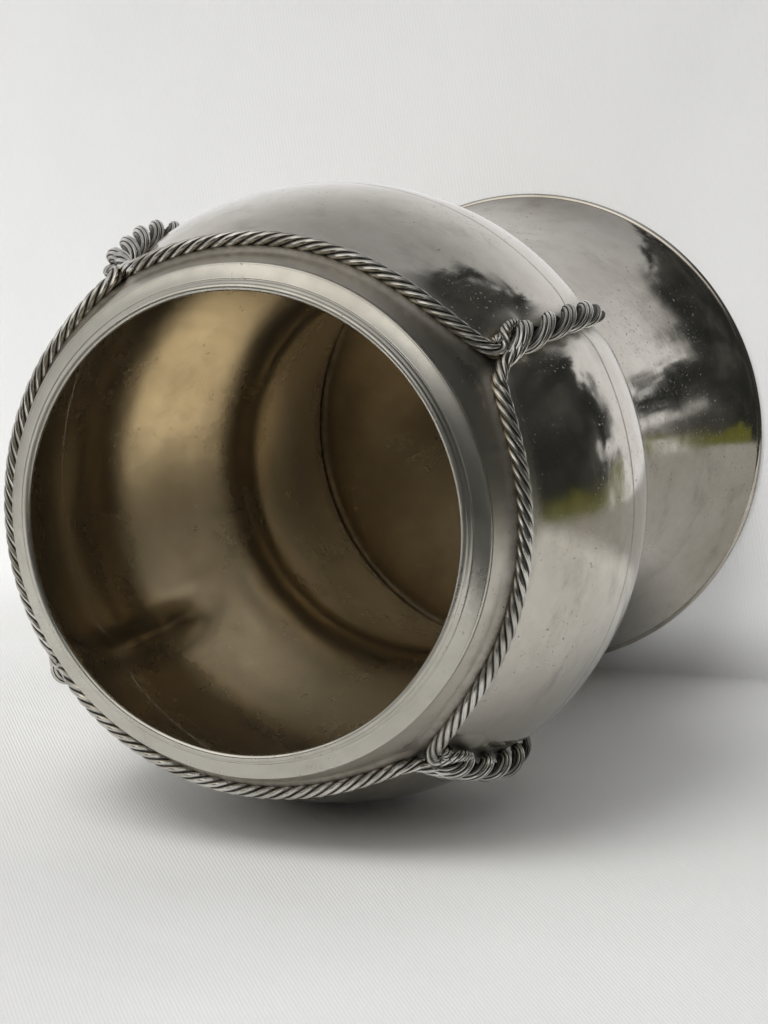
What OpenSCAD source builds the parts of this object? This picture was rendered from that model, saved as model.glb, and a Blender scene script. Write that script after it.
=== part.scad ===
// Champagne bucket in raised sheet metal: a belly tied round its neck with
// cast rope, over a waist and a flaring foot. It stands on its foot, mouth up.
// Origin: centre of the ring it stands on. +Z is the bucket's axis. Millimetres.

/* [Overall] */
// Height from the standing ring to the top of the lip
height = 292; // [280:1:310]
// Radius of the mouth at its inner edge
mouth_r = 72; // [70:0.5:74]
// Thickness of the sheet metal
sheet_t = 1.4; // [1:0.1:1.8]

/* [Outline] */
// Outside radius at the top of the neck
neck_r = 80.2; // [80:0.1:82]
// Drop from the lip to the top of the neck
neck_drop = 6.6; // [6:0.2:8]
// Outside radius at the widest part of the belly
belly_r = 103; // [101:0.5:106]
// Height of the widest part of the belly
belly_z = 206; // [202:1:210]
// Outside radius at the waist
waist_r = 67.5; // [65:0.5:70]
// Height of the waist
waist_z = 122; // [118:1:126]
// Outside radius of the foot
foot_r = 93.5; // [92:0.5:96]

/* [Rim and seams] */
// Diameter of the wire that edges the mouth
lip_wire_d = 2.4; // [2:0.1:3]
// Outside radius of the sloping collar round the mouth
collar_r = 80.6; // [80:0.2:81.4]
// Height of the seam where the shoulder meets the bowl below it
seam_z = 211; // [208:1:214]
// Diameter of the wire that edges the foot
foot_wire_d = 3.2; // [2.6:0.2:4]
// Height of the flat bottom above the standing ring
bottom_z = 6; // [5:0.5:9]

/* [Rope] */
// Diameter of the rope
rope_d = 5.0; // [4:0.1:5]
// Drop from the lip to the middle of the rope between two knots
rope_drop = 18; // [17:0.5:20]
// Extra drop of the rope where it dips into a knot
knot_dip = 9; // [6:0.5:11]
// Angle over which that dip fades out
knot_dip_angle = 8; // [6:0.5:11]
// Direction of the first knot, in degrees from +X
first_knot_angle = 45; // [0:5:90]

/* [Knots and tails] */
// Diameter of each rope end in a tail
tail_d = 4.8; // [4:0.1:4.8]
// Length of a tail along the belly
tail_len = 76; // [60:1:84]
// Advance of the two rope ends for one full turn round each other
tail_pitch = 28; // [22:1:32]
// Outside diameter of the loop that ties a knot
knot_loop_d = 13.4; // [12:0.2:15]

/* [Valleys] */
// Depth of the valley under each tail
valley_depth = 2; // [1:0.1:2.6]
// Radius of the valley's round section
valley_r = 12; // [10:0.5:15]
// Angle above the belly's centre where the valley starts
valley_top = 22; // [18:1:25]
// Angle below the belly's centre where the valley ends
valley_bottom = 12; // [8:1:15]

/* [Hidden] */
KNOTS = 4;

SILVER = [0.74, 0.73, 0.70];
ROPE_SILVER = [0.58, 0.57, 0.54];
ROUND = 72;          // facets of a full turn of the body
ROPE_SIDES = 8;      // sides of a swept rope
SOLDER = 0.15;       // how far a rope sinks into what it is soldered to
knot_lead = 1.2;     // degrees of the belly's arc from a tail's start up to its knot
foot_wear = 0.4;     // how far the foot's wire is worn flat where it stands

neck_z = height - neck_drop;
rope_r = rope_d / 2;
tail_r = tail_d / 2;
quarter = 360 / KNOTS;

// --- Outline: three smooth stretches, each a cubic between two stations ---

// Point of a cubic that leaves a along tangent u and reaches b along tangent v
function cubic(a, u, b, v, t) =
    a * (2 * pow(t, 3) - 3 * pow(t, 2) + 1) + u * (pow(t, 3) - 2 * pow(t, 2) + t)
    + b * (3 * pow(t, 2) - 2 * pow(t, 3)) + v * (pow(t, 3) - pow(t, 2));
// Slope of the same cubic
function cubic_slope(a, u, b, v, t) =
    (a - b) * (6 * pow(t, 2) - 6 * t) + u * (3 * pow(t, 2) - 4 * t + 1)
    + v * (3 * pow(t, 2) - 2 * t);

// Stations [radius, height] and the tangents there, [end, tangent, end, tangent]
neck_to_belly = [[neck_r, neck_z], [31, -77], [belly_r, belly_z], [0, -103]];
belly_to_waist = [[belly_r, belly_z], [0, -135], [waist_r, waist_z], [0, -85]];
waist_to_foot = [
    [waist_r, waist_z], [0, -89], [foot_r - 0.9, foot_wire_d - foot_wear - 0.15], [34, -52]
];

// Outside point of a stretch, moved in by depth square to the surface
function skin(s, t, depth = 0) =
    let (
        p = cubic(s[0], s[1], s[2], s[3], t),
        d = cubic_slope(s[0], s[1], s[2], s[3], t),
        len = norm(d)
    )
    p - depth * [-d[1], d[0]] / len;
function skin_line(s, from, to, steps, depth = 0) =
    [for (i = [0:steps]) skin(s, from + (to - from) * i / steps, depth)];
// Share of a stretch at which it passes height z, by halving
function share_at(s, z, low = 0, high = 1, turns = 18) =
    turns == 0 ? (low + high) / 2
    : let (mid = (low + high) / 2)
        cubic(s[0], s[1], s[2], s[3], mid)[1] > z
            ? share_at(s, z, mid, high, turns - 1)
            : share_at(s, z, low, mid, turns - 1);

seam_share = share_at(neck_to_belly, seam_z);

// --- Valleys: a long round hollow down the belly under each tail ---

// The belly's outline between neck and waist is close to this one arc
belly_arc_centre = [belly_r - 112.3, belly_z + 3.4];
belly_arc_r = 112;

module valley(widen = 0) {
    path_r = belly_arc_r + valley_r - valley_depth;
    section_r = valley_r + widen;
    for (k = [0:KNOTS - 1])
        rotate([0, 0, first_knot_angle + k * quarter])
            translate([belly_arc_centre[0], 0, belly_arc_centre[1]])
                rotate([90, 0, 0]) {
                    rotate([0, 0, -valley_bottom])
                        rotate_extrude(angle = valley_top + valley_bottom, $fn = 96)
                            translate([path_r, 0]) circle(r = section_r, $fn = 32);
                    for (a = [-valley_bottom, valley_top])
                        rotate([0, 0, a])
                            translate([path_r, 0, 0]) sphere(r = section_r, $fn = 32);
                }
}

// --- Shells ---

module lip_wire() {
    color(SILVER)
        rotate_extrude($fn = ROUND)
            translate([mouth_r + lip_wire_d / 2, height - lip_wire_d / 2])
                circle(d = lip_wire_d, $fn = 24);
}

// Sloping band between the lip and the neck, with a turned-down outer edge
module rim_collar() {
    inner_r = mouth_r + lip_wire_d;
    edge_h = 1.9;
    line_r = inner_r + 0.9;
    line_depth = 0.35;
    top_z = height - 0.9;
    edge_z = neck_z + edge_h;
    drop = (top_z - edge_z) / (collar_r - inner_r);
    color(SILVER)
        rotate_extrude($fn = ROUND)
            polygon([
                [inner_r, top_z],
                [line_r - 0.3, top_z - 0.3 * drop],
                [line_r, top_z - line_depth - 0.6 * drop],
                [line_r + 0.3, top_z - 1.2 * drop],
                [collar_r - 0.5, edge_z + 0.2],
                [collar_r, edge_z - 0.4],
                [collar_r, neck_z],
                [collar_r - sheet_t, neck_z],
                [inner_r, top_z - sheet_t - 0.3],
            ]);
}

// Solid with the outside shape of neck, shoulder and upper belly
module shoulder_core(steps) {
    outer = skin_line(neck_to_belly, 0, seam_share, steps);
    difference() {
        rotate_extrude($fn = ROUND)
            polygon(concat([[0, neck_z]], outer, [[0, seam_z]]));
        valley();
    }
}

// Neck, shoulder and upper belly, with the four valleys pressed in
module shoulder() {
    steps = 18;
    inner = skin_line(neck_to_belly, 0, seam_share, steps, sheet_t);
    color(SILVER)
        difference() {
            shoulder_core(steps);
            difference() {
                rotate_extrude($fn = ROUND)
                    polygon(concat(
                        [[0, neck_z + 1], [inner[0][0], neck_z + 1]],
                        inner,
                        [[inner[steps][0], seam_z - 1], [0, seam_z - 1]]
                    ));
                valley(sheet_t);
            }
        }
}

// Bowl from the belly's seam down to the waist
module belly_bowl() {
    belly_steps = 3;
    waist_steps = 18;
    outer = concat(
        skin_line(neck_to_belly, seam_share, 1, belly_steps),
        [for (i = [1:waist_steps]) skin(belly_to_waist, i / waist_steps)]
    );
    inner = concat(
        skin_line(neck_to_belly, seam_share, 1, belly_steps, sheet_t),
        [for (i = [1:waist_steps]) skin(belly_to_waist, i / waist_steps, sheet_t)]
    );
    last = len(inner) - 1;
    color(SILVER)
        difference() {
            difference() {
                rotate_extrude($fn = ROUND)
                    polygon(concat([[0, seam_z]], outer, [[0, waist_z]]));
                valley();
            }
            difference() {
                rotate_extrude($fn = ROUND)
                    polygon(concat(
                        [[0, seam_z + 1], [inner[0][0], seam_z + 1]],
                        inner,
                        [[inner[last][0], waist_z - 1], [0, waist_z - 1]]
                    ));
                valley(sheet_t);
            }
        }
}

// Flaring foot from the waist down to its wired edge
module foot_flare() {
    steps = 16;
    outer = skin_line(waist_to_foot, 0, 1, steps);
    inner = skin_line(waist_to_foot, 0, 1, steps, sheet_t);
    color(SILVER)
        rotate_extrude($fn = ROUND)
            polygon(concat(outer, [for (i = [steps:-1:0]) inner[i]]));
}

// Flat disc soldered inside the foot, its edge turned up against the wall
module bottom_plate() {
    share = share_at(waist_to_foot, bottom_z + 2);
    wall = skin(waist_to_foot, share, sheet_t);
    disc_r = wall[0] - 0.1;
    color(SILVER)
        rotate_extrude($fn = ROUND)
            polygon([
                [0, bottom_z],
                [disc_r, bottom_z],
                [disc_r, bottom_z + 2],
                [disc_r - 1, bottom_z + 2.6],
                [disc_r - 3, bottom_z + sheet_t],
                [0, bottom_z + sheet_t],
            ]);
}

// Round wire soldered under the foot's edge, worn flat underneath
module foot_wire() {
    color(SILVER)
        difference() {
            rotate_extrude($fn = ROUND)
                translate([foot_r - foot_wire_d / 2, foot_wire_d / 2 - foot_wear])
                    circle(d = foot_wire_d, $fn = 24);
            translate([0, 0, -foot_wire_d])
                cylinder(r = foot_r + 1, h = foot_wire_d, $fn = ROUND);
        }
}

// --- Ropes ---

// Tube swept along points; each ring lies in the plane square to the path
function unit(v) = v / norm(v);
function path_tangent(p, i) =
    unit(p[min(i + 1, len(p) - 1)] - p[max(i - 1, 0)]);
function ring(centre, along, out, r) =
    let (side = unit(cross(along, out)), up = cross(side, along))
        [for (j = [0:ROPE_SIDES - 1])
            let (a = 360 * j / ROPE_SIDES)
                centre + r * (cos(a) * side + sin(a) * up)];

// Tube along points, with outs giving a direction away from the body at each
module tube(points, outs, r) {
    last = len(points) - 1;
    rings = [for (i = [0:last]) each ring(points[i], path_tangent(points, i), outs[i], r)];
    sides = [for (i = [0:last - 1], j = [0:ROPE_SIDES - 1])
        let (a = i * ROPE_SIDES, b = a + ROPE_SIDES, n = (j + 1) % ROPE_SIDES)
            each [[a + j, a + n, b + n], [a + j, b + n, b + j]]];
    start = [for (j = [ROPE_SIDES - 1:-1:0]) j];
    finish = [for (j = [0:ROPE_SIDES - 1]) last * ROPE_SIDES + j];
    polyhedron(points = rings, faces = concat([start], sides, [finish]), convexity = 4);
}

function outward(angle) = [cos(angle), sin(angle), 0];
// Point on the shoulder at a height and direction, stood off by gap
function on_shoulder(angle, z, gap) =
    let (
        share = share_at(neck_to_belly, z),
        flat = skin(neck_to_belly, share, -gap)
    )
    [flat[0] * cos(angle), flat[0] * sin(angle), flat[1]];

// One rope from knot k to the next, dipping into the knot at either end
module rope(k) {
    steps = 36;
    margin = 1.6;
    from = first_knot_angle + k * quarter;
    angles = [for (i = [0:steps]) margin + (quarter - 2 * margin) * i / steps];
    dips = [for (a = angles)
        knot_dip * (exp(-a / knot_dip_angle) + exp(-(quarter - a) / knot_dip_angle))];
    points = [for (i = [0:steps])
        on_shoulder(from + angles[i], height - rope_drop - dips[i], rope_r - SOLDER)];
    outs = [for (a = angles) outward(from + a)];
    color(ROPE_SILVER) tube(points, outs, rope_r);
}

// Direction along a tail from its knot: [radius, height] on the belly's arc
tail_arc_r = belly_arc_r - valley_depth + tail_d - SOLDER;
tail_start = asin((height - rope_drop - knot_dip - 3 - belly_arc_centre[1]) / tail_arc_r);
tail_turn = tail_len / tail_arc_r * 180 / PI;
function tail_axis(share) =
    let (a = tail_start - tail_turn * share)
        [belly_arc_centre[0] + tail_arc_r * cos(a), 0, belly_arc_centre[1] + tail_arc_r * sin(a)];
function tail_out(share) =
    let (a = tail_start - tail_turn * share) [cos(a), 0, sin(a)];

// One of the two rope ends that wind round each other down the belly
module tail_end(k, phase) {
    steps = 34;
    swing = tail_r - 0.05;
    turns = tail_len / tail_pitch;
    points = [for (i = [0:steps])
        let (s = i / steps, w = phase - 360 * turns * s)
            tail_axis(s) + swing * (cos(w) * [0, 1, 0] + sin(w) * tail_out(s))];
    outs = [for (i = [0:steps]) tail_out(i / steps)];
    color(ROPE_SILVER)
        rotate([0, 0, first_knot_angle + k * quarter]) tube(points, outs, tail_r);
}

// Loop of rope over the two ends at the top of a tail, soldered to the shoulder
module knot(k) {
    loop_r = (knot_loop_d - tail_d) / 2;
    a = tail_start + knot_lead;
    centre_r = tail_arc_r - 0.4;
    color(ROPE_SILVER)
        difference() {
            rotate([0, 0, first_knot_angle + k * quarter])
                translate([
                    belly_arc_centre[0] + centre_r * cos(a), 0,
                    belly_arc_centre[1] + centre_r * sin(a)
                ])
                    rotate([0, -a, 0])
                        rotate_extrude($fn = 40)
                            translate([loop_r, 0]) circle(d = tail_d, $fn = 20);
            shoulder_core(8);
        }
}

lip_wire();
rim_collar();
shoulder();
belly_bowl();
foot_flare();
bottom_plate();
foot_wire();
rope(0);  // rope_1
rope(1);  // rope_2
rope(2);  // rope_3
rope(3);  // rope_4
knot(0);  // knot_1
knot(1);  // knot_2
knot(2);  // knot_3
knot(3);  // knot_4
tail_end(0, 180);  // tail_1_left_end
tail_end(1, 180);  // tail_2_left_end
tail_end(2, 180);  // tail_3_left_end
tail_end(3, 180);  // tail_4_left_end
tail_end(0, 0);  // tail_1_right_end
tail_end(1, 0);  // tail_2_right_end
tail_end(2, 0);  // tail_3_right_end
tail_end(3, 0);  // tail_4_right_end
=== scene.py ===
"""Looks of the champagne bucket, in metres, in the row's frame: +Z up, mouth up.

The photograph shows the bucket lying on its side. The camera is rolled to match, and the
cloth that it lies on is an upright sheet here, with a level floor under the foot as well.
"""

import math

import bpy
import numpy as np
from mathutils import Matrix, Vector

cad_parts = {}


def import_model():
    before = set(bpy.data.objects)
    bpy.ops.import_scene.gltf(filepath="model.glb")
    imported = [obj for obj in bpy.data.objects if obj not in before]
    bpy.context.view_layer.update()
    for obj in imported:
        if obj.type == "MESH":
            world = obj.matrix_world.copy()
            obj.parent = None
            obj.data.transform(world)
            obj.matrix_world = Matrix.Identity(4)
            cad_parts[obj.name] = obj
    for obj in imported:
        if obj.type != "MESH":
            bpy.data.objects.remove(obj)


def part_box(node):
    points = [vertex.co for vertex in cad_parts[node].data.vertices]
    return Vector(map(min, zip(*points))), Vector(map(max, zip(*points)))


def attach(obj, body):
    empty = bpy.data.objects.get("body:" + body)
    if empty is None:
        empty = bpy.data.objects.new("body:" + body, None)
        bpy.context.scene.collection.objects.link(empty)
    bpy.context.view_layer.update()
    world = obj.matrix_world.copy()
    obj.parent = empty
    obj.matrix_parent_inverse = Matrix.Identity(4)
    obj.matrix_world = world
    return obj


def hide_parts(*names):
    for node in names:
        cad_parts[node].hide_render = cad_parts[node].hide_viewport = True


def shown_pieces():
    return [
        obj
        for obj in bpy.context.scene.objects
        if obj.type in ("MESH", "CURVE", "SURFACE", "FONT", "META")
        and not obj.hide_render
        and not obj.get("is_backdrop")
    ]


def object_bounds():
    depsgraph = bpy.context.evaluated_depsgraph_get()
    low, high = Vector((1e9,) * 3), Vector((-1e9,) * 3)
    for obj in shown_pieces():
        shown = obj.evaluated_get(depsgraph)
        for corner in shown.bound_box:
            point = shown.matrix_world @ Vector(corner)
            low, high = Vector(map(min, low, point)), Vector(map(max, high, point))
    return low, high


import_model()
cad_low, cad_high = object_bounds()

MM = 0.001

# ------------------------------------------------------------------ sizes from the frame

HEIGHT = cad_high.z
SHEET_T = 1.4 * MM
ROPE_D = 5.0 * MM
TAIL_D = 4.8 * MM
KNOTS = 4
FIRST_KNOT = 45.0
QUARTER = 360.0 / KNOTS

lip_low, lip_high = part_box("lip_wire")
LIP_WIRE_D = lip_high.z - lip_low.z
MOUTH_R = lip_high.x - LIP_WIRE_D
collar_low, collar_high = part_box("rim_collar")
COLLAR_R = collar_high.x
NECK_Z = collar_low.z
NECK_R = COLLAR_R - 0.4 * MM
SEAM_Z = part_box("shoulder")[0].z
bowl_low, bowl_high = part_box("belly_bowl")
BELLY_R = bowl_high.x
BELLY_Z = 206 * MM
WAIST_Z = bowl_low.z
WAIST_R = 67.5 * MM
FOOT_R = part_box("foot_wire")[1].x
FOOT_WIRE_D = 3.2 * MM
FOOT_WIRE_WORN = 0.4 * MM
FLARE_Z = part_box("foot_flare")[0].z
plate_low, plate_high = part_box("bottom_plate")
BOTTOM_Z = plate_low.z

# Which way is up in the photograph, in the row's frame
PHOTO_UP = Vector((0.143, -0.989, 0.046)).normalized()

# ------------------------------------------------------------------ outline of the body


def cubic(a, u, b, v, t):
    """Point and slope of a cubic that leaves a along u and reaches b along v."""
    t = np.asarray(t, float)[:, None]
    a, u, b, v = (np.asarray(x, float) for x in (a, u, b, v))
    point = (
        a * (2 * t**3 - 3 * t**2 + 1)
        + u * (t**3 - 2 * t**2 + t)
        + b * (3 * t**2 - 2 * t**3)
        + v * (t**3 - t**2)
    )
    slope = (
        (a - b) * (6 * t**2 - 6 * t)
        + u * (3 * t**2 - 4 * t + 1)
        + v * (3 * t**2 - 2 * t)
    )
    return point, slope


NECK_TO_BELLY = ((NECK_R, NECK_Z), (31 * MM, -77 * MM), (BELLY_R, BELLY_Z), (0, -103 * MM))
BELLY_TO_WAIST = ((BELLY_R, BELLY_Z), (0, -135 * MM), (WAIST_R, WAIST_Z), (0, -85 * MM))
WAIST_TO_FOOT = (
    (WAIST_R, WAIST_Z),
    (0, -89 * MM),
    (FOOT_R - 0.9 * MM, FLARE_Z),
    (34 * MM, -52 * MM),
)


def stretch(stations, steps):
    """Points (radius, height) and outward normals along one stretch."""
    point, slope = cubic(*stations, np.linspace(0, 1, steps + 1))
    normal = np.stack([-slope[:, 1], slope[:, 0]], 1)
    return point, normal / np.linalg.norm(normal, axis=1, keepdims=True)


def outline(*parts):
    """Several stretches joined, without the doubled points between them."""
    points, normals = [], []
    for i, (stations, steps) in enumerate(parts):
        p, n = stretch(stations, steps)
        start = 1 if i else 0
        points.append(p[start:])
        normals.append(n[start:])
    return np.vstack(points), np.vstack(normals)


FULL_POINTS, FULL_NORMALS = outline(
    (NECK_TO_BELLY, 60), (BELLY_TO_WAIST, 60), (WAIST_TO_FOOT, 60)
)


def skin_at(z, gap=0.0):
    """Radius and height of the point gap outside the body, above height z on its skin."""
    order = np.argsort(FULL_POINTS[:, 1])
    zs = FULL_POINTS[order, 1]
    r = np.interp(z, zs, FULL_POINTS[order, 0])
    nr = np.interp(z, zs, FULL_NORMALS[order, 0])
    nz = np.interp(z, zs, FULL_NORMALS[order, 1])
    return r + gap * nr, z + gap * nz


# ------------------------------------------------------------------ mesh helpers


def smooth_step(low, high, x):
    t = np.clip((x - low) / (high - low), 0, 1)
    return t * t * (3 - 2 * t)


def grid_mesh(name, points, closed_u, closed_v, uv=None, material_of_row=None, extra=None):
    """Mesh of a grid points[row, column, 3]; rows run along, columns run around.

    uv is [row, column, 2] with one more row or column where the grid is closed.
    extra maps an attribute's name to one number for each point.
    """
    rows, cols = points.shape[:2]
    index = np.arange(rows * cols).reshape(rows, cols)
    r = np.arange(rows if closed_v else rows - 1)
    c = np.arange(cols if closed_u else cols - 1)
    rr, cc = np.meshgrid(r, c, indexing="ij")
    r2, c2 = (rr + 1) % rows, (cc + 1) % cols
    quads = np.stack([index[rr, cc], index[rr, c2], index[r2, c2], index[r2, cc]], -1)
    quads = quads.reshape(-1, 4)
    mesh = bpy.data.meshes.new(name)
    mesh.from_pydata(points.reshape(-1, 3).tolist(), [], quads.tolist())
    if uv is not None:
        corners = np.stack(
            [uv[rr, cc], uv[rr, cc + 1], uv[rr + 1, cc + 1], uv[rr + 1, cc]], -2
        )
        layer = mesh.uv_layers.new(name="UVMap")
        layer.data.foreach_set("uv", corners.reshape(-1).astype(np.float32))
    if material_of_row is not None:
        mesh.polygons.foreach_set(
            "material_index", material_of_row[rr].reshape(-1).astype(np.int32)
        )
    for key, values in (extra or {}).items():
        layer = mesh.attributes.new(key, "FLOAT", "POINT")
        layer.data.foreach_set("value", values.reshape(-1).astype(np.float32))
    mesh.polygons.foreach_set("use_smooth", [True] * len(mesh.polygons))
    mesh.update()
    piece = bpy.data.objects.new(name, mesh)
    bpy.context.scene.collection.objects.link(piece)
    return piece


def finish_piece(piece, nodes, slot, *materials):
    for material in materials:
        piece.data.materials.append(material)
    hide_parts(*nodes)
    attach(piece, "root")
    return piece


# ------------------------------------------------------------------ shape of the sheet

VALLEY_DEPTH = 2.0 * MM
VALLEY_WIDTH = 6.5 * MM
RIDGE_SHARE = 1.7
ROUND_STEPS = 288


def waviness(angle, z):
    """Slow unevenness of hand-raised sheet, in metres, at angles in radians."""
    rng = np.random.default_rng(7)
    total = np.zeros(np.broadcast(angle, z).shape)
    for _ in range(14):
        around = rng.integers(2, 15)
        along = rng.uniform(12, 70)
        phase, phase_z = rng.uniform(0, 2 * np.pi, 2)
        size = rng.uniform(0.3, 1.0) / (1 + 0.12 * around)
        total += size * np.sin(around * angle + phase) * np.sin(along * z + phase_z)
    return total * 0.06 * MM


def valleys(angle, radius, z):
    """Depth of the four pressed valleys at each point."""
    depth = np.zeros(np.broadcast(angle, z).shape)
    along = smooth_step(0.152, 0.180, z) * (1 - smooth_step(0.258, 0.278, z))
    for k in range(KNOTS):
        centre = math.radians(FIRST_KNOT + k * QUARTER)
        off = (angle - centre + np.pi) % (2 * np.pi) - np.pi
        across = np.exp(-((off * radius / VALLEY_WIDTH) ** 2))
        depth += VALLEY_DEPTH * across * along
    return depth


def dents(angle, radius, z):
    """A few small bruises, as (degrees, height, width, depth)."""
    marks = (
        (262, 0.188, 0.010, 0.35 * MM),
        (196, 0.221, 0.008, 0.25 * MM),
        (88, 0.236, 0.012, 0.40 * MM),
        (20, 0.196, 0.009, 0.30 * MM),
        (150, 0.050, 0.014, 0.35 * MM),
        (300, 0.070, 0.012, 0.35 * MM),
        (10, 0.036, 0.010, 0.30 * MM),
        (230, 0.030, 0.012, 0.30 * MM),
    )
    depth = np.zeros(np.broadcast(angle, z).shape)
    for degrees, height, width, deep in marks:
        off = (angle - math.radians(degrees) + np.pi) % (2 * np.pi) - np.pi
        distance = ((off * radius) ** 2 + (z - height) ** 2) / width**2
        depth += deep * np.exp(-distance)
    return depth


def turned(points, normals, valley_share=1.0):
    """Grid of a profile turned round the axis, pressed in by valleys, dents and waves."""
    angle = np.linspace(0, 2 * np.pi, ROUND_STEPS, endpoint=False)[None, :]
    r, z = points[:, 0][:, None], points[:, 1][:, None]
    fade = smooth_step(0, 0.02, HEIGHT - z) * smooth_step(0, 0.012, z)
    pressed = valley_share * valleys(angle, r, z) + dents(angle, r, z)
    move = fade * waviness(angle, z) - pressed
    rr = r + move * normals[:, 0][:, None]
    zz = z + move * normals[:, 1][:, None]
    return np.stack([rr * np.cos(angle), rr * np.sin(angle), zz + 0 * angle], -1)


def turned_uv(rows):
    v = np.linspace(0, 1, rows + 1)[:, None]
    u = np.linspace(0, 1, ROUND_STEPS + 1)[None, :]
    return np.stack([u + 0 * v, v + 0 * u], -1)


# ------------------------------------------------------------------ routes of the ropes

BELLY_ARC_CENTRE = (BELLY_R - 112.3 * MM, BELLY_Z + 3.4 * MM)
TAIL_ARC_R = 112 * MM - VALLEY_DEPTH + TAIL_D
TAIL_LEN = 76 * MM
TAIL_PITCH = 28 * MM
ROPE_DROP = 18 * MM
KNOT_DIP = 9 * MM
KNOT_DIP_ANGLE = 8.0
TAIL_START = math.asin(
    (HEIGHT - ROPE_DROP - KNOT_DIP - 3 * MM - BELLY_ARC_CENTRE[1]) / TAIL_ARC_R
)
TAIL_TURN = TAIL_LEN / TAIL_ARC_R


def spun(k, points):
    """Points made for a knot at +X, turned to knot k's place."""
    a = math.radians(FIRST_KNOT + k * QUARTER)
    turn = np.array([[math.cos(a), -math.sin(a), 0], [math.sin(a), math.cos(a), 0], [0, 0, 1]])
    return np.asarray(points) @ turn.T


def tail_frame(share):
    """Axis point, outward and sideways directions at a share of a tail's length."""
    a = TAIL_START - TAIL_TURN * np.asarray(share, float)
    zero = np.zeros_like(a)
    out = np.stack([np.cos(a), zero, np.sin(a)], -1)
    axis = out * TAIL_ARC_R + np.array([BELLY_ARC_CENTRE[0], 0, BELLY_ARC_CENTRE[1]])
    side = np.zeros_like(out)
    side[..., 1] = 1
    return axis, out, side


def tail_route(phase, steps=170):
    """Route of one rope of a tail, with its radius as a fourth column."""
    share = np.linspace(-0.02, 1.0, steps)
    axis, out, side = tail_frame(share)
    turn = phase - 2 * np.pi * TAIL_LEN / TAIL_PITCH * share
    thin = 1 - 0.42 * smooth_step(0.62, 1.0, share)
    swell = 1 + 0.16 * np.exp(-(((share - 0.12) / 0.08) ** 2))
    swing = TAIL_D / 2 * thin * swell
    drop = (TAIL_D / 2 - swing) * 0.9
    points = axis + out * (-drop)[:, None]
    points = points + swing[:, None] * (
        np.cos(turn)[:, None] * side + np.sin(turn)[:, None] * out
    )
    return np.column_stack([points, TAIL_D / 2 * thin * swell])


def resample(points, spacing):
    """Points spaced evenly along a smooth curve through the given ones."""
    points = np.asarray(points, float)
    padded = np.vstack([2 * points[0] - points[1], points, 2 * points[-1] - points[-2]])
    t = np.linspace(0, 1, 10, endpoint=False)[:, None]
    fine = []
    for i in range(1, len(padded) - 2):
        a, b, c, d = padded[i - 1 : i + 3]
        bend = (2 * a - 5 * b + 4 * c - d) * t**2 + (3 * b - 3 * c + d - a) * t**3
        fine.append(0.5 * (2 * b + (c - a) * t + bend))
    fine = np.vstack(fine + [padded[-2:-1]])
    run = np.r_[0, np.cumsum(np.linalg.norm(np.diff(fine[:, :3], axis=0), axis=1))]
    at = np.linspace(0, run[-1], max(8, int(run[-1] / spacing)))
    return np.stack([np.interp(at, run, column) for column in fine.T], -1)


def knot_points(k, places):
    """Points at knot k from (sideways, towards the mouth, outwards, radius) in mm."""
    places = np.asarray(places, float) * MM
    axis, out, side = tail_frame(-places[:, 1] / TAIL_LEN)
    points = axis + side * places[:, :1] + out * places[:, 2:3]
    return np.column_stack([spun(k, points), places[:, 3]])


# A rope's first end hooks round and ends in a small coil beside the tail. Its last end
# crosses over that hook and becomes one rope of the next tail.
HOOK = (
    (4.9, -14.5, -0.8, 1.2),
    (5.4, -11.0, -0.1, 1.6),
    (5.4, -7.6, 0.5, 1.8),
    (4.4, -4.4, 0.8, 1.9),
    (2.2, -2.2, 0.7, 2.1),
    (0.3, -0.3, 0.3, 2.4),
    (-0.1, 2.4, 0.2, 2.5),
    (1.6, 4.6, 0.1, 2.5),
)
CROSSING = (
    (-5.2, 5.0, 0.3, 2.5),
    (-3.9, 2.2, 0.8, 2.5),
    (-3.2, -1.0, 1.2, 2.6),
    (-2.1, -4.0, 2.0, 2.7),
    (-0.4, -7.0, 2.6, 2.6),
    (1.3, -10.2, 2.2, 2.1),
)
HOOK_RUN = 17 * MM


def rope_route(k):
    """Route and radius of the rope from the hook at knot k to the tail at the next one."""
    span = np.linspace(4.0, QUARTER - 5.4, 60)
    dip = KNOT_DIP * (
        np.exp(-span / KNOT_DIP_ANGLE) + np.exp(-(QUARTER - span) / KNOT_DIP_ANGLE)
    )
    r, z = skin_at(HEIGHT - ROPE_DROP - dip, ROPE_D / 2 - 0.15 * MM)
    a = np.radians(FIRST_KNOT + k * QUARTER + span)
    middle = np.stack([r * np.cos(a), r * np.sin(a), z, 0 * z + ROPE_D / 2], -1)
    return resample(
        np.vstack([knot_points(k, HOOK), middle, knot_points(k + 1, CROSSING)]), 0.45 * MM
    )


# ------------------------------------------------------------------ twisted rope

ROPE_STRANDS = 5
ROPE_LAY = 25 * MM
HOOK_LAY = 9 * MM
TAIL_STRANDS = 9
TAIL_LAY = 44 * MM


def strand_outline(turns, strands):
    """Radius, as a share of the rope's, of round strands seen end on."""
    off = (turns * strands + 0.5) % 1 - 0.5
    angle = off * 2 * np.pi / strands
    touching = math.sin(math.pi / strands)
    thick = 1.07 * touching / (1 + touching)
    inside = thick**2 - ((1 - thick) * np.sin(angle)) ** 2
    return (1 - thick) * np.cos(angle) + np.sqrt(np.maximum(inside, 0.0))


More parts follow.
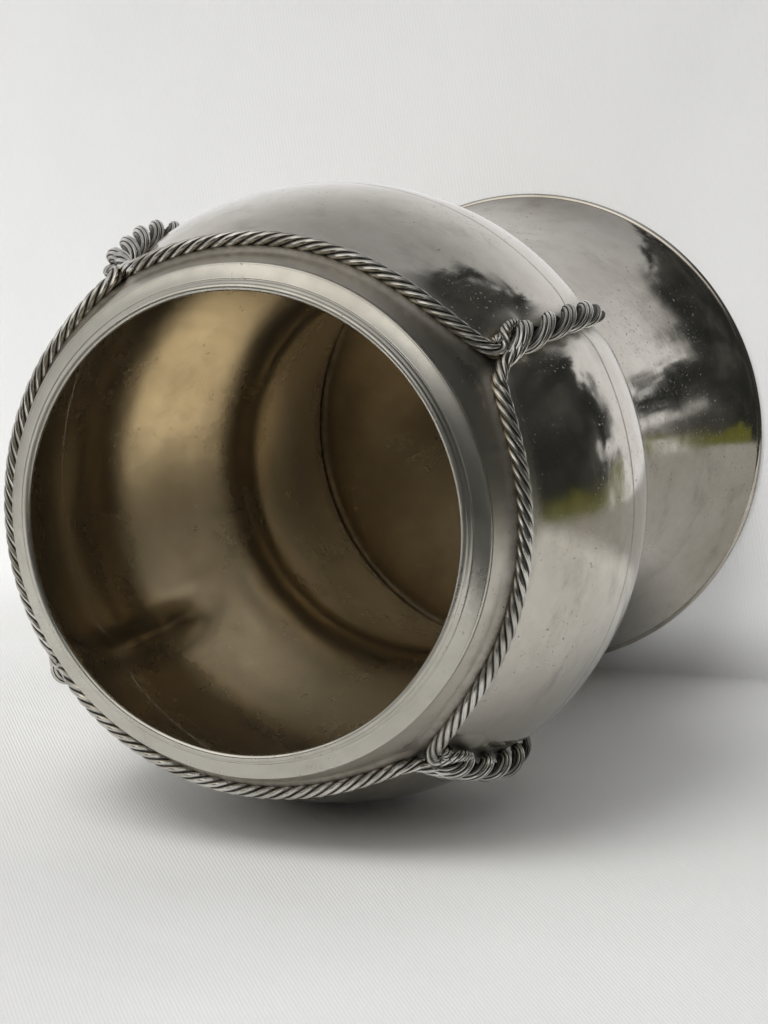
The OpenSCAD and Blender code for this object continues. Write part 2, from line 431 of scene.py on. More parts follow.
def twisted(route, lay, strands, sides, taper):
    """Grid of a rope swept along route, and its UV map of (metres along, strand).

    lay is the advance of a strand for one turn round the rope, at each point of the route.
    """
    centre, radius = route[:, :3], route[:, 3]
    along = np.gradient(centre, axis=0)
    along /= np.linalg.norm(along, axis=1, keepdims=True)
    across = np.zeros_like(along)
    seed = np.cross(along[0], [0.3, 0.2, 0.9])
    across[0] = seed / np.linalg.norm(seed)
    for i in range(1, len(route)):
        v = across[i - 1] - along[i] * (across[i - 1] @ along[i])
        across[i] = v / np.linalg.norm(v)
    third = np.cross(along, across)
    run = np.r_[0, np.cumsum(np.linalg.norm(np.diff(centre, axis=0), axis=1))]
    turn = np.arange(sides) / sides
    laid = np.r_[0, np.cumsum(np.diff(run) / lay[1:])]
    end = np.clip(np.minimum(run, run[-1] - run) / taper, 0, 1)
    size = radius * np.sqrt(np.clip(1 - (1 - end) ** 2, 0.02, 1))
    r = size[:, None] * strand_outline(turn[None, :] + laid[:, None], strands)
    a = 2 * np.pi * turn
    ring = (
        np.cos(a)[None, :, None] * across[:, None, :]
        + np.sin(a)[None, :, None] * third[:, None, :]
    )
    points = centre[:, None, :] + r[..., None] * ring
    rows = np.r_[run, run[-1]]
    strand = strands * (np.arange(sides + 1)[None, :] / sides + np.r_[laid, laid[-1]][:, None])
    return points, np.stack([np.repeat(rows[:, None], sides + 1, 1), strand], -1)


# ------------------------------------------------------------------ materials


class Nodes:
    """Short forms for building one node tree."""

    def __init__(self, tree):
        self.tree = tree

    def add(self, kind, *inputs, **settings):
        node = self.tree.nodes.new(kind)
        for key, value in settings.items():
            setattr(node, key, value)
        for i, value in enumerate(inputs):
            if value is None:
                continue
            if isinstance(value, bpy.types.NodeSocket):
                self.tree.links.new(value, node.inputs[i])
            else:
                node.inputs[i].default_value = value
        return node

    def along(self, vector, direction):
        node = self.add("ShaderNodeVectorMath", operation="DOT_PRODUCT")
        self.tree.links.new(vector, node.inputs[0])
        node.inputs[1].default_value = direction
        return node.outputs["Value"]

    def math(self, operation, a, b=0.0, clamp=False):
        return self.add("ShaderNodeMath", a, b, operation=operation, use_clamp=clamp).outputs[0]

    def noise(self, vector, scale, detail=4.0, rough=0.55, distortion=0.0):
        node = self.add("ShaderNodeTexNoise")
        self.tree.links.new(vector, node.inputs["Vector"])
        node.inputs["Scale"].default_value = scale
        node.inputs["Detail"].default_value = detail
        node.inputs["Roughness"].default_value = rough
        node.inputs["Distortion"].default_value = distortion
        return node.outputs["Fac"]

    def scaled(self, vector, x, y, z):
        node = self.add("ShaderNodeMapping")
        self.tree.links.new(vector, node.inputs["Vector"])
        node.inputs["Scale"].default_value = (x, y, z)
        return node.outputs[0]

    def ramp(self, value, low, high, out_low=0.0, out_high=1.0):
        node = self.add("ShaderNodeMapRange", interpolation_type="SMOOTHSTEP")
        self.tree.links.new(value, node.inputs["Value"])
        node.inputs["From Min"].default_value = low
        node.inputs["From Max"].default_value = high
        node.inputs["To Min"].default_value = out_low
        node.inputs["To Max"].default_value = out_high
        return node.outputs[0]

    def mix(self, share, a, b):
        node = self.add("ShaderNodeMix", data_type="RGBA")
        for name, value in (("Factor_Float", share), ("A_Color", a), ("B_Color", b)):
            socket = next(s for s in node.inputs if s.identifier == name)
            if isinstance(value, bpy.types.NodeSocket):
                self.tree.links.new(value, socket)
            else:
                socket.default_value = value
        return next(s for s in node.outputs if s.identifier == "Result_Color")

    def bump(self, height, distance, strength=1.0, normal=None):
        node = self.add("ShaderNodeBump")
        self.tree.links.new(height, node.inputs["Height"])
        node.inputs["Distance"].default_value = distance
        node.inputs["Strength"].default_value = strength
        if normal is not None:
            self.tree.links.new(normal, node.inputs["Normal"])
        return node.outputs[0]


def new_material(name):
    material = bpy.data.materials.new(name)
    material.use_nodes = True
    tree = material.node_tree
    shader = tree.nodes["Principled BSDF"]
    return material, Nodes(tree), shader


def rgb(r, g, b):
    return (r, g, b, 1.0)


def silver(name, clean, stained, dark, shine, dull, pits=1.0, wave=1.0, metallic=1.0):
    """Old silver: clean and stained tones, tarnished corners, scratches and pits.

    shine and dull are the roughness of the brightest and the most stained metal.
    """
    material, n, shader = new_material(name)
    shader.inputs["Metallic"].default_value = metallic
    place = n.add("ShaderNodeTexCoord").outputs["Object"]
    corner = n.add("ShaderNodeAttribute", attribute_name="tarnish_and_shade").outputs["Fac"]

    cloud = n.ramp(n.noise(place, 20, 3, 0.5), 0.28, 0.74)
    fine = n.ramp(n.noise(place, 150, 4, 0.6), 0.30, 0.80)
    stain = n.math("ADD", n.math("MULTIPLY", cloud, 0.6), n.math("MULTIPLY", fine, 0.3))
    ragged = n.math("MULTIPLY", corner, n.ramp(n.noise(place, 260, 5, 0.7), 0.2, 0.75, 0.5, 1.15))

    speck_noise = n.noise(place, 820, 3, 0.6)
    speck_area = n.ramp(n.noise(place, 30, 3, 0.6), 0.40, 0.66)
    speck = n.math("MULTIPLY", n.ramp(speck_noise, 0.645, 0.74), speck_area, True)
    speck = n.math("MULTIPLY", speck, pits, True)
    smear = n.noise(n.scaled(place, 44, 44, 78), 1.0, 5, 0.65)

    colour = n.mix(stain, clean, stained)
    colour = n.mix(n.ramp(smear, 0.50, 0.84, 0.0, 0.42 * pits), colour, dark)
    colour = n.mix(n.math("MULTIPLY", ragged, 0.9, True), colour, dark)
    colour = n.mix(n.math("MULTIPLY", speck, 0.75, True), colour, rgb(0.07, 0.06, 0.05))
    n.tree.links.new(colour, shader.inputs["Base Color"])

    worn = n.add("ShaderNodeAttribute", attribute_name="dull").outputs["Fac"]
    rough = n.ramp(stain, 0.0, 0.75, shine, dull)
    rough = n.math("ADD", rough, n.math("MULTIPLY", worn, 0.26), True)
    rough = n.math("ADD", rough, n.math("MULTIPLY", ragged, 0.25), True)
    rough = n.math("ADD", rough, n.math("MULTIPLY", speck, 0.5), True)
    n.tree.links.new(rough, shader.inputs["Roughness"])

    hand = n.bump(n.noise(place, 34, 2, 0.45), 0.5 * MM * wave, 0.5)
    orange = n.bump(n.noise(place, 210, 2, 0.5), 0.03 * MM * wave, 0.6, hand)
    scratch_a = n.noise(n.scaled(place, 90, 90, 1400), 1.0, 3, 0.6)
    scratch_b = n.noise(n.scaled(place, 1500, 700, 160), 1.0, 3, 0.6)
    scratch = n.math("ADD", scratch_a, n.math("MULTIPLY", scratch_b, 0.6))
    scratched = n.bump(scratch, 0.006 * MM, 0.6, orange)
    pitted = n.bump(n.math("SUBTRACT", 1.0, speck), 0.15 * MM, 0.9, scratched)
    n.tree.links.new(pitted, shader.inputs["Normal"])
    return material


def rope_silver(name):
    """Cast rope: bright strand crests, dark oxidised grooves, three fine lines a strand, and painted
    shade between a tail's two ropes.
    """
    material, n, shader = new_material(name)
    shader.inputs["Metallic"].default_value = 1.0
    coords = n.add("ShaderNodeTexCoord")
    place = coords.outputs["Object"]
    uv = n.add("ShaderNodeSeparateXYZ", coords.outputs["UV"])
    strand = n.math("FRACT", n.math("ADD", uv.outputs["Y"], 0.5))
    off = n.math("ABSOLUTE", n.math("SUBTRACT", strand, 0.5))
    lines = n.math("SINE", n.math("MULTIPLY", uv.outputs["Y"], 2 * math.pi * 3))
    deep = n.add("ShaderNodeAttribute", attribute_name="tarnish_and_shade").outputs["Fac"]
    worn = n.ramp(n.noise(place, 300, 4, 0.6), 0.3, 0.7)
    groove = n.ramp(off, 0.22, 0.44)
    line_dirt = n.ramp(lines, -1.0, -0.5, 0.42, 0.0)
    dirt_and_shade = n.math("ADD", groove, n.math("MULTIPLY", line_dirt, worn))
    dirt_and_shade = n.math("MULTIPLY", dirt_and_shade, n.ramp(worn, 0.0, 1.0, 1.0, 0.80), True)
    # Painted shade: deep between a tail's two ropes the colour goes nearly black. Rope lying against
    # the body is darkened the same way.
    dirt_and_shade = n.math("MAXIMUM", dirt_and_shade, n.math("MULTIPLY", deep, 0.92))
    patch = n.ramp(n.noise(place, 60, 3, 0.6), 0.35, 0.7)
    crest = n.mix(patch, rgb(0.74, 0.72, 0.67), rgb(0.44, 0.42, 0.37))
    colour = n.mix(dirt_and_shade, crest, rgb(0.030, 0.027, 0.023))
    n.tree.links.new(colour, shader.inputs["Base Color"])
    rough = n.math("ADD", n.ramp(patch, 0, 1, 0.20, 0.33), n.math("MULTIPLY", dirt_and_shade, 0.3), True)
    n.tree.links.new(rough, shader.inputs["Roughness"])
    lined = n.bump(lines, 0.04 * MM, 0.6)
    grained = n.bump(n.noise(place, 900, 3, 0.6), 0.04 * MM, 0.7, lined)
    n.tree.links.new(grained, shader.inputs["Normal"])
    return material


BODY = silver(
    "body_silver",
    rgb(0.63, 0.60, 0.54), rgb(0.45, 0.41, 0.345), rgb(0.09, 0.075, 0.055), 0.06, 0.16,
)
RIM = silver(
    "rim_silver",
    rgb(0.63, 0.61, 0.55), rgb(0.48, 0.46, 0.40), rgb(0.12, 0.10, 0.08), 0.22, 0.36,
    pits=0.6, wave=0.6,
)
INSIDE = silver(
    "inside_silver",
    rgb(0.74, 0.67, 0.54), rgb(0.61, 0.535, 0.41), rgb(0.10, 0.08, 0.055), 0.20, 0.31,
    pits=0.25, metallic=0.95,
)
BOTTOM = silver(
    "bottom_silver",
    rgb(0.58, 0.51, 0.40), rgb(0.42, 0.36, 0.27), rgb(0.07, 0.055, 0.04), 0.24, 0.40,
    pits=0.4, metallic=0.85,
)
ROPE = rope_silver("rope_silver")


# ------------------------------------------------------------------ pieces

rope_routes = [rope_route(k) for k in range(KNOTS)]
tail_axes = [spun(k, tail_frame(np.linspace(0, 1, 40))[0]) for k in range(KNOTS)]


def gap_to_ropes(points):
    """Distance from each point of a grid to the nearest rope's skin, but not below 0."""
    flat = points.reshape(-1, 3)
    nearest = np.full(len(flat), 1.0)
    for line in [route[::5, :3] for route in rope_routes] + tail_axes:
        for p in line:
            nearest = np.minimum(nearest, ((flat - p) ** 2).sum(1))
    return np.maximum(np.sqrt(nearest) - ROPE_D / 2, 0).reshape(points.shape[:2])


def part_of(stations, z_low, z_high, steps):
    """Evenly spaced rows of one stretch between two heights."""
    point, slope = cubic(*stations, np.linspace(0, 1, 400))
    inside = (point[:, 1] >= z_low - 1e-6) & (point[:, 1] <= z_high + 1e-6)
    pick = np.flatnonzero(inside)[np.linspace(0, inside.sum() - 1, steps + 1).astype(int)]
    normal = np.stack([-slope[:, 1], slope[:, 0]], 1)[pick]
    return point[pick], normal / np.linalg.norm(normal, axis=1, keepdims=True)


SEAM_TARNISH = 0.55
SOLDER_RISE = 1.2 * MM
SOLDER_REACH = 3.4 * MM
TARNISH_REACH = 4.5 * MM
DULL_REACH = 11 * MM


def with_crisp_ends(rows):
    """The same rows, with one more very close to each end so that its corner stays crisp."""
    first = rows[0] + 0.03 * (rows[1] - rows[0])
    last = rows[-1] + 0.03 * (rows[-2] - rows[-1])
    return np.vstack([rows[:1], [first], rows[1:-1], [last], rows[-1:]])


def wall(name, points, normals, nodes):
    """Double-walled turned sheet, raised to a fillet of solder along the ropes."""
    points, normals = with_crisp_ends(points), with_crisp_ends(normals)
    outside = turned(points, normals)
    gap = gap_to_ropes(outside)
    angle = np.linspace(0, 2 * np.pi, ROUND_STEPS, endpoint=False)[None, :]
    way = np.stack(
        [
            normals[:, :1] * np.cos(angle),
            normals[:, :1] * np.sin(angle),
            normals[:, 1:] + 0 * angle,
        ],
        -1,
    )
    rise = SOLDER_RISE * (1 - smooth_step(0, SOLDER_REACH, gap))
    outside = outside + way * rise[..., None]
    inside = turned(points - SHEET_T * normals, normals, RIDGE_SHARE)
    grid = np.concatenate([outside, inside[::-1]])
    rows = len(grid)
    near = np.zeros((rows, ROUND_STEPS))
    near[: len(outside)] = np.clip(1 - gap / TARNISH_REACH, 0, 1) ** 1.3
    seam = np.abs(grid[: len(outside), :1, 2] - SEAM_Z) < 0.5 * MM
    near[: len(outside)] = np.maximum(near[: len(outside)], np.where(seam, SEAM_TARNISH, 0.0))
    dull = np.zeros((rows, ROUND_STEPS))
    dull[: len(outside)] = 1 - smooth_step(2 * MM, DULL_REACH, gap)
    by_collar = smooth_step(NECK_Z - 14 * MM, NECK_Z - 5 * MM, outside[..., 2])
    dull[: len(outside)] = np.maximum(dull[: len(outside)], 0.9 * by_collar)
    which = np.zeros(rows, int)
    which[len(outside) :] = 1
    extra = {"tarnish_and_shade": near, "dull": dull}
    piece = grid_mesh(name, grid, True, True, turned_uv(rows), which, extra)
    return finish_piece(piece, nodes, "body_silver", BODY, INSIDE)


neck_points, neck_normals = part_of(NECK_TO_BELLY, SEAM_Z, NECK_Z, 84)
wall("shoulder_shell", neck_points, neck_normals, ["shoulder"])

low_points, low_normals = part_of(NECK_TO_BELLY, BELLY_Z, SEAM_Z, 5)
bowl_points, bowl_normals = stretch(BELLY_TO_WAIST, 90)
wall(
    "belly_bowl_shell",
    np.vstack([low_points[:-1], bowl_points]),
    np.vstack([low_normals[:-1], bowl_normals]),
    ["belly_bowl"],
)
flare_points, flare_normals = stretch(WAIST_TO_FOOT, 100)
wall("foot_flare_shell", flare_points, flare_normals, ["foot_flare"])


def ring_profile(name, centre_r, centre_z, section, nodes, slot, material, floor=None):
    """A turned ring; section is a list of (radius, height) offsets from its centre."""
    section = np.asarray(section, float)
    angle = np.linspace(0, 2 * np.pi, ROUND_STEPS, endpoint=False)[None, :]
    r = centre_r + section[:, 0][:, None]
    z = centre_z + section[:, 1][:, None] + 0 * angle
    if floor is not None:
        z = np.maximum(z, floor)
    r = r + waviness(angle, z) * 0.8
    points = np.stack([r * np.cos(angle), r * np.sin(angle), z], -1)
    rows = len(section)
    piece = grid_mesh(
        name, points, True, True, turned_uv(rows), None, {"tarnish_and_shade": np.zeros((rows, ROUND_STEPS))}
    )
    return finish_piece(piece, nodes, slot, material)


def circle_section(diameter, steps=28):
    a = -np.linspace(0, 2 * np.pi, steps, endpoint=False)
    return np.stack([np.cos(a), np.sin(a)], 1) * diameter / 2


ring_profile(
    "lip_wire_ring",
    MOUTH_R + LIP_WIRE_D / 2,
    HEIGHT - LIP_WIRE_D / 2,
    circle_section(LIP_WIRE_D),
    ["lip_wire"],
    "rim_silver",
    RIM,
)
ring_profile(
    "foot_wire_ring",
    FOOT_R - FOOT_WIRE_D / 2,
    FOOT_WIRE_D / 2 - FOOT_WIRE_WORN,
    circle_section(FOOT_WIRE_D),
    ["foot_wire"],
    "body_silver",
    BODY,
    floor=0.0,
)


def collar_section():
    """Sloping band with a fine turned line, a rounded outer edge and a hollow back."""
    inner = MOUTH_R + LIP_WIRE_D * 0.9
    top = HEIGHT - 0.9 * MM
    edge = NECK_Z + 1.9 * MM
    run = np.linspace(0, 1, 40)
    r = inner + (COLLAR_R - 0.7 * MM - inner) * run
    z = top + (edge - top) * run - 0.35 * MM * np.sin(np.pi * run)
    line = 0.30 * MM * np.exp(-(((r - inner - 1.3 * MM) / (0.28 * MM)) ** 2))
    upper = np.stack([r, z - line], 1)
    a = np.linspace(0, np.pi / 2, 8)[1:]
    bend = np.stack(
        [COLLAR_R - 0.7 * MM + 0.7 * MM * np.sin(a), edge - 0.7 * MM + 0.7 * MM * np.cos(a)], 1
    )
    lower = np.array(
        [
            [COLLAR_R, NECK_Z],
            [COLLAR_R - SHEET_T, NECK_Z],
            [inner + 0.3 * MM, top - SHEET_T],
        ]
    )
    return np.vstack([upper, bend, lower])


ring_profile(
    "rim_collar_band", 0.0, 0.0, collar_section(), ["rim_collar"], "rim_silver", RIM
)


def bottom_plate():
    """Disc with turned rings, sunk a little in the middle, its edge turned up."""
    disc_r = plate_high.x
    r = np.r_[np.linspace(0.2 * MM, disc_r - 3 * MM, 70), disc_r - 2 * MM, disc_r - 1 * MM, disc_r]
    z = np.full(len(r), BOTTOM_Z + SHEET_T)
    z[-3:] = [BOTTOM_Z + 1.6 * MM, BOTTOM_Z + 1.9 * MM, BOTTOM_Z + 1.7 * MM]
    back = np.array([[disc_r, BOTTOM_Z], [0.2 * MM, BOTTOM_Z]])
    section = np.vstack([np.stack([r, z], 1), back])
    angle = np.linspace(0, 2 * np.pi, ROUND_STEPS, endpoint=False)[None, :]
    rr, zz = section[:, 0][:, None], section[:, 1][:, None]
    lift = 0.10 * MM * np.sin(3 * angle + 1) * np.sin(rr * 60)
    points = np.stack([rr * np.cos(angle), rr * np.sin(angle), zz + lift], -1)
    rows = len(section)
    edge = 0.5 * np.clip((section[:, 0] - disc_r + 7 * MM) / (5 * MM), 0, 1)[:, None]
    near = edge + 0 * angle
    piece = grid_mesh(
        "bottom_disc", points, True, True, turned_uv(rows), None, {"tarnish_and_shade": near}
    )
    return finish_piece(piece, ["bottom_plate"], "bottom_silver", BOTTOM)


bottom_plate()

def depth_in_tail(points, k):
    """How deep each point lies between the two ropes of tail k, from 0 to 1."""
    flat = points.reshape(-1, 3)
    nearest = np.full(len(flat), 1.0)
    for p in tail_axes[k]:
        nearest = np.minimum(nearest, ((flat - p) ** 2).sum(1))
    far = np.sqrt(nearest).reshape(points.shape[:2])
    return 1 - smooth_step(0.48 * TAIL_D, 0.88 * TAIL_D, far)


def depth_by_body(points):
    """How near each point lies to the body under it, from 0 to 1."""
    radius = np.hypot(points[..., 0], points[..., 1])
    skin, _ = skin_at(points[..., 2])
    return 1 - smooth_step(0.1 * MM, 1.5 * MM, radius - skin)


for k in range(KNOTS):
    route = rope_routes[k]
    run = np.r_[0, np.cumsum(np.linalg.norm(np.diff(route[:, :3], axis=0), axis=1))]
    lay = HOOK_LAY + (ROPE_LAY - HOOK_LAY) * smooth_step(HOOK_RUN * 0.5, HOOK_RUN * 1.2, run)
    grid, uv = twisted(route, lay, ROPE_STRANDS, 60, 2.0 * MM)
    # The rope is painted darker where it lies against the body.
    dark = depth_by_body(grid)
    leaves_knot = knot_points(k, HOOK)[-1, :3]
    split = np.linalg.norm(route[:, :3] - leaves_knot, axis=1).argmin()
    hook = grid_mesh(
        f"knot_{k + 1}_hook", grid[: split + 1], True, False, uv[: split + 2],
        extra={"tarnish_and_shade": dark[: split + 1]},
    )
    finish_piece(hook, [f"knot_{k + 1}"], "rope_silver", ROPE)
    swag = grid_mesh(
        f"rope_{k + 1}_strands", grid[split:], True, False, uv[split:],
        extra={"tarnish_and_shade": dark[split:]},
    )
    finish_piece(swag, [f"rope_{k + 1}"], "rope_silver", ROPE)

    for side, phase in (("left", math.pi), ("right", 0.0)):
        route = tail_route(phase)
        route[:, :3] = spun(k, route[:, :3])
        grid, uv = twisted(
            route, np.full(len(route), TAIL_LAY), TAIL_STRANDS, 72, 1.6 * MM
        )
        # Points deep between this tail's two ropes are painted nearly black, a painted shade.
        end = grid_mesh(
            f"tail_{k + 1}_{side}_strands", grid, True, False, uv,
            extra={"tarnish_and_shade": depth_in_tail(grid, k)},
        )
        finish_piece(end, [f"tail_{k + 1}_{side}_end"], "rope_silver", ROPE)


# ------------------------------------------------------------------ stage

PALE = rgb(0.78, 0.785, 0.79)
TABLE_FRONT = 0.34


def cloth_material():
    """Pale cotton with a fine weave and slow creases.

    It shows only its front. What lies past the table's edge or rises behind the foot is
    left out of reflections, where the surroundings take its place. A faint painted glow
    lightens the shade on the cloth behind the foot and on the rear floor.
    """
    material, n, shader = new_material("white_cloth")
    place = n.add("ShaderNodeNewGeometry").outputs["Position"]

    warp = n.add("ShaderNodeTexWave", bands_direction="DIAGONAL")
    n.tree.links.new(n.scaled(place, 1.0, 0.35, 0.7), warp.inputs["Vector"])
    warp.inputs["Scale"].default_value = 430
    warp.inputs["Distortion"].default_value = 2.0
    warp.inputs["Detail"].default_value = 2
    warp.inputs["Detail Scale"].default_value = 2
    fold = n.noise(n.scaled(place, 5.0, 4.0, 6.0), 1.0, 3, 0.45, 0.6)
    cloudy = n.noise(place, 5.0, 3, 0.5)
    tone = n.mix(n.ramp(cloudy, 0.3, 0.7), rgb(0.73, 0.735, 0.74), PALE)
    n.tree.links.new(tone, shader.inputs["Base Color"])
    shader.inputs["Roughness"].default_value = 0.95
    folded = n.bump(fold, 10 * MM, 0.35)
    woven = n.bump(warp.outputs["Fac"], 0.06 * MM, 0.7, folded)
    n.tree.links.new(woven, shader.inputs["Normal"])

    rise = n.math("SUBTRACT", n.along(place, PHOTO_UP), lowest)
    # Painted light: the cloth glows, most just behind the foot and on the floor behind the sheet,
    # lifting the shade there.
    n.tree.links.new(tone, shader.inputs["Emission Color"])
    glow = n.math("SUBTRACT", n.ramp(rise, 0.0, 0.03, 0.0, 0.27), n.ramp(rise, 0.04, 0.34, 0.0, 0.20))
    glow = n.math("ADD", glow, n.ramp(rise, -0.010, -0.002, 0.30, 0.0))
    n.tree.links.new(glow, shader.inputs["Emission Strength"])

    path = n.add("ShaderNodeLightPath")
    level = n.ramp(rise, 0.010, 0.030)
    table_edge = BELLY_Z + TABLE_FRONT
    past_table = n.ramp(n.along(place, level_back), table_edge, table_edge + 0.02)
    missing = n.math("MAXIMUM", level, past_table)
    missing = n.math("MULTIPLY", missing, path.outputs["Is Glossy Ray"])
    back = n.add("ShaderNodeNewGeometry").outputs["Backfacing"]
    missing = n.math("MAXIMUM", missing, back)
    clear = n.add("ShaderNodeBsdfTransparent").outputs[0]
    mixed = n.add("ShaderNodeMixShader", missing, shader.outputs[0], clear)
    output = next(x for x in n.tree.nodes if x.type == "OUTPUT_MATERIAL")
    n.tree.links.new(mixed.outputs[0], output.inputs["Surface"])
    return material


lowest = min(
    float((np.array([v.co[:] for v in o.data.vertices]) @ np.array(PHOTO_UP)).min())
    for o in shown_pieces()
    if o.type == "MESH" and o.name.endswith(("shell", "ring"))
)
CAMERA_AT = Vector((-0.3412, -0.1854, 1.1297))
CAMERA_AIM = Vector((-0.0139, 0.0048, 0.2000))
toward_camera = (CAMERA_AT - CAMERA_AIM).normalized()
level_right = PHOTO_UP.cross(toward_camera).normalized()
level_back = level_right.cross(PHOTO_UP).normalized()

cloth = cloth_material()
FLOOR_Z = -0.2 * MM
cloth_level = lowest - 0.2 * MM
corner_way = PHOTO_UP.cross(Vector((0, 0, 1))).normalized()
wall_way = corner_way.cross(PHOTO_UP).normalized()
if wall_way.z < 0:
    wall_way = -wall_way
floor_way = Vector((0, 0, 1)).cross(corner_way).normalized()
if floor_way.dot(PHOTO_UP) < 0:
    floor_way = -floor_way
CORNER_TIGHT = 1 * MM
CORNER_WIDE = 0.10
# The corner line: on both the lying cloth and the floor, nearest to the axis
corner = floor_way * ((cloth_level - PHOTO_UP.z * FLOOR_Z) / floor_way.dot(PHOTO_UP))
corner.z = FLOOR_Z


def studio_sweep():
    """Cloth from the upright sheet round a hollow corner and out over the floor."""
    sideways = np.r_[np.linspace(-2.0, -0.45, 6), np.linspace(-0.4, 0.4, 65)]
    sideways = np.r_[sideways, np.linspace(0.45, 2.0, 6)]
    radius = CORNER_TIGHT + CORNER_WIDE * smooth_step(0.09, 0.32, np.abs(sideways))
    rows = []
    for distance in (2.4, 1.2, 0.8, 0.5, 0.35):
        rows.append([corner + corner_way * x + wall_way * distance for x in sideways])
    for a in np.linspace(0, np.pi / 2, 22):
        rows.append(
            [
                corner
                + corner_way * x
                + wall_way * (r * (1 - math.sin(a)))
                + floor_way * (r * (1 - math.cos(a)))
                for x, r in zip(sideways, radius)
            ]
        )
    for distance in (0.35, 0.6, 1.0, 3.0):
        rows.append([corner + corner_way * x + floor_way * distance for x in sideways])
    points = np.array([[p[:] for p in row] for row in rows], float)
    normal = np.cross(points[0, 1] - points[0, 0], points[1, 0] - points[0, 0])
    if normal @ np.array(PHOTO_UP) < 0:
        points = points[:, ::-1]
    piece = grid_mesh("studio_sweep", points, False, False)
    piece.data.materials.append(cloth)
    piece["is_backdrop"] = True


studio_sweep()
UNDER_CORNER = 0.11
front_floor = [
    corner + corner_way * x + floor_way * d - Vector((0, 0, 0.3 * MM))
    for x, d in ((-2, UNDER_CORNER), (2, UNDER_CORNER), (2, -2.4), (-2, -2.4))
]
mesh = bpy.data.meshes.new("front_floor")
mesh.from_pydata([p[:] for p in front_floor], [], [(0, 1, 2, 3)])
mesh.update()
if mesh.polygons[0].normal.z < 0:
    mesh.flip_normals()
floor = bpy.data.objects.new("front_floor", mesh)
bpy.context.scene.collection.objects.link(floor)
mesh.materials.append(cloth)
floor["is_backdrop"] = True

# ------------------------------------------------------------------ camera and light

camera = bpy.data.objects.new("camera", bpy.data.cameras.new("camera"))
bpy.context.scene.collection.objects.link(camera)
camera.data.lens = 105.5
camera.data.sensor_width = 36.0
camera.data.clip_start = 0.01
camera.data.clip_end = 50
camera.matrix_world = Matrix.Translation(CAMERA_AT) @ Matrix(
    (level_right, toward_camera.cross(level_right), toward_camera)
).transposed().to_4x4()
bpy.context.scene.camera = camera


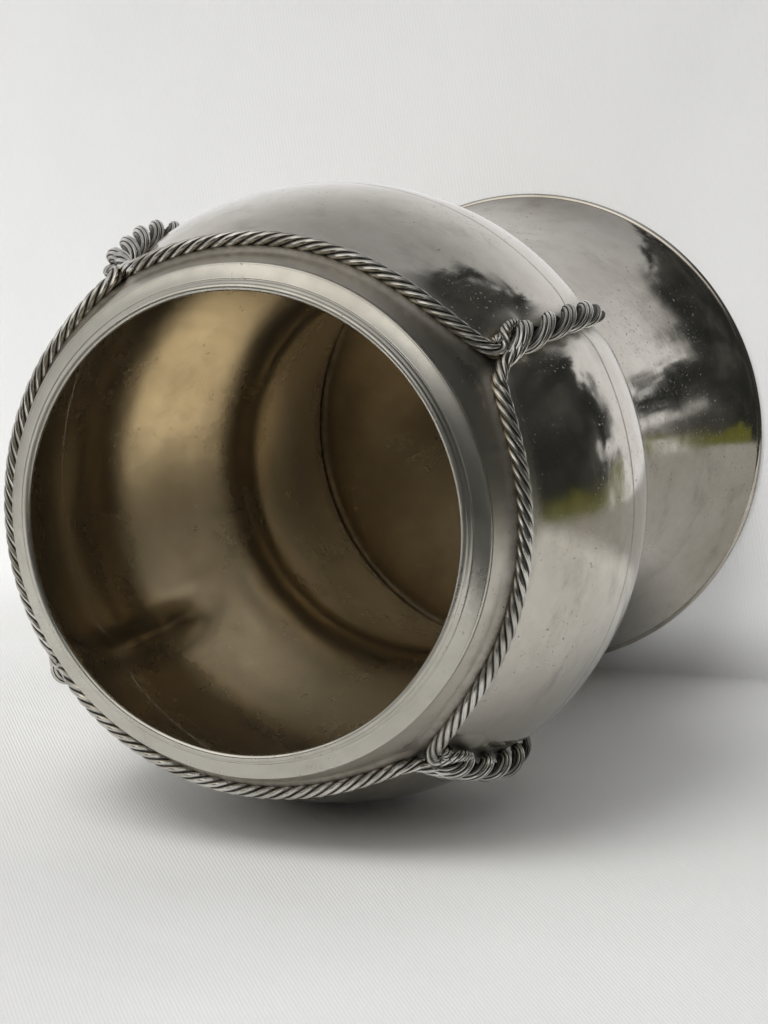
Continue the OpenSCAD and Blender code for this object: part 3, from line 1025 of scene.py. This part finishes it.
def world():
    """Soft pale light from all round, with a dark screen to the right and in front.

    The screen has an uneven top and far edge, as the metal in the photograph shows.
    """
    made = bpy.data.worlds.new("surroundings")
    bpy.context.scene.world = made
    made.use_nodes = True
    n = Nodes(made.node_tree)
    made.node_tree.nodes.clear()
    way = n.add("ShaderNodeTexCoord").outputs["Generated"]

    degrees = 180 / math.pi
    high = n.math("MULTIPLY", n.math("ARCSINE", n.along(way, PHOTO_UP)), degrees)
    turn = n.math("ARCTAN2", n.along(way, level_right), n.along(way, level_back))
    turn = n.math("MULTIPLY", turn, degrees)
    leaves = n.math("SUBTRACT", n.noise(way, 5.0, 8, 0.62, 0.4), 0.5)
    branches = n.math("SUBTRACT", n.noise(way, 16.0, 6, 0.7, 0.8), 0.5)
    ragged = n.math("ADD", n.math("MULTIPLY", leaves, 40.0), n.math("MULTIPLY", branches, 22.0))
    ragged_high = n.math("ADD", high, ragged)
    ragged_turn = n.math("ADD", turn, ragged)

    near_edge = n.ramp(ragged_turn, -88, -72)
    high_turn = n.math("SUBTRACT", ragged_turn, n.ramp(high, 20, 32, 0.0, 12.0))
    far_edge = n.ramp(high_turn, 121, 126, 1.0, 0.0)
    top = n.ramp(turn, -15, 90, 21.0, 64.0)
    above_top = n.math("SUBTRACT", ragged_high, top)
    under_top = n.ramp(above_top, -3, 4, 1.0, 0.0)
    dark = n.math("MULTIPLY", n.math("MULTIPLY", near_edge, far_edge), under_top)

    sky = n.mix(n.ramp(high, 8, 56), rgb(0.92, 0.92, 0.93), rgb(0.42, 0.42, 0.43))
    left = n.ramp(n.math("ABSOLUTE", n.math("ADD", turn, 80)), 20, 60, 1.0, 0.0)
    sky = n.mix(left, sky, rgb(0.60, 0.60, 0.60))
    bright_side = n.ramp(n.math("ABSOLUTE", n.math("ADD", turn, 38)), 25, 60, 1.0, 0.0)
    bright_high = n.ramp(n.math("ABSOLUTE", n.math("SUBTRACT", high, 48)), 14, 40, 1.0, 0.0)
    bright = n.math("MULTIPLY", bright_side, bright_high)
    sky = n.mix(bright, sky, rgb(1.25, 1.22, 1.16))
    trees = n.mix(n.ramp(leaves, -0.1, 0.25), rgb(0.028, 0.030, 0.029), rgb(0.095, 0.094, 0.086))
    trees = n.mix(n.ramp(ragged_turn, -45, -30), rgb(0.15, 0.145, 0.13), trees)
    leafy = n.math("ADD", high, n.math("MULTIPLY", leaves, 14))
    grass = n.math("MULTIPLY", n.ramp(leafy, -4, -2, 1.0, 0.0), n.ramp(ragged_turn, 84, 92))
    trees = n.mix(grass, trees, rgb(0.15, 0.155, 0.035))
    upper = n.mix(dark, sky, trees)
    front = n.ramp(n.math("ABSOLUTE", n.math("SUBTRACT", turn, 8)), 50, 75, 1.0, 0.0)
    ground = n.mix(front, rgb(0.42, 0.41, 0.39), rgb(0.055, 0.052, 0.046))
    seen = n.mix(n.ramp(high, -8, -6.5), ground, upper)

    # The lit patch is far stronger than a screen shows once metal has passed it on twice
    path = n.add("ShaderNodeLightPath")
    passed_on = n.ramp(path.outputs["Glossy Depth"], 1.4, 1.6)
    passed_on = n.math("MULTIPLY", passed_on, path.outputs["Is Glossy Ray"])
    seen = n.mix(n.math("MULTIPLY", bright, passed_on), seen, rgb(1.75, 1.6, 1.3))
    colour = n.mix(path.outputs["Is Camera Ray"], seen, rgb(0.70, 0.705, 0.71))
    background = n.add("ShaderNodeBackground", colour, 1.0)
    output = n.add("ShaderNodeOutputWorld")
    n.tree.links.new(background.outputs[0], output.inputs["Surface"])


world()


def softbox(name, azimuth, elevation, distance, size, power, colour=(1, 1, 1)):
    """An area light aimed at the belly, placed by its direction in the photograph's level."""
    a, e = math.radians(azimuth), math.radians(elevation)
    way = (
        level_back * math.cos(a) * math.cos(e)
        + level_right * math.sin(a) * math.cos(e)
        + PHOTO_UP * math.sin(e)
    )
    lamp = bpy.data.lights.new(name, "AREA")
    lamp.shape = "DISK"
    lamp.size = size
    lamp.energy = power
    lamp.color = colour
    holder = bpy.data.objects.new(name, lamp)
    bpy.context.scene.collection.objects.link(holder)
    aim = Vector((0, 0, HEIGHT * 0.6))
    holder.location = aim + way * distance
    holder.rotation_mode = "QUATERNION"
    holder.rotation_quaternion = way.to_track_quat("Z", "Y")
    holder.visible_glossy = False
    return holder


softbox("sky_light", -40, 56, 1.8, 1.0, 16, (1.0, 0.99, 0.97))

bpy.context.scene.view_settings.view_transform = "Standard"
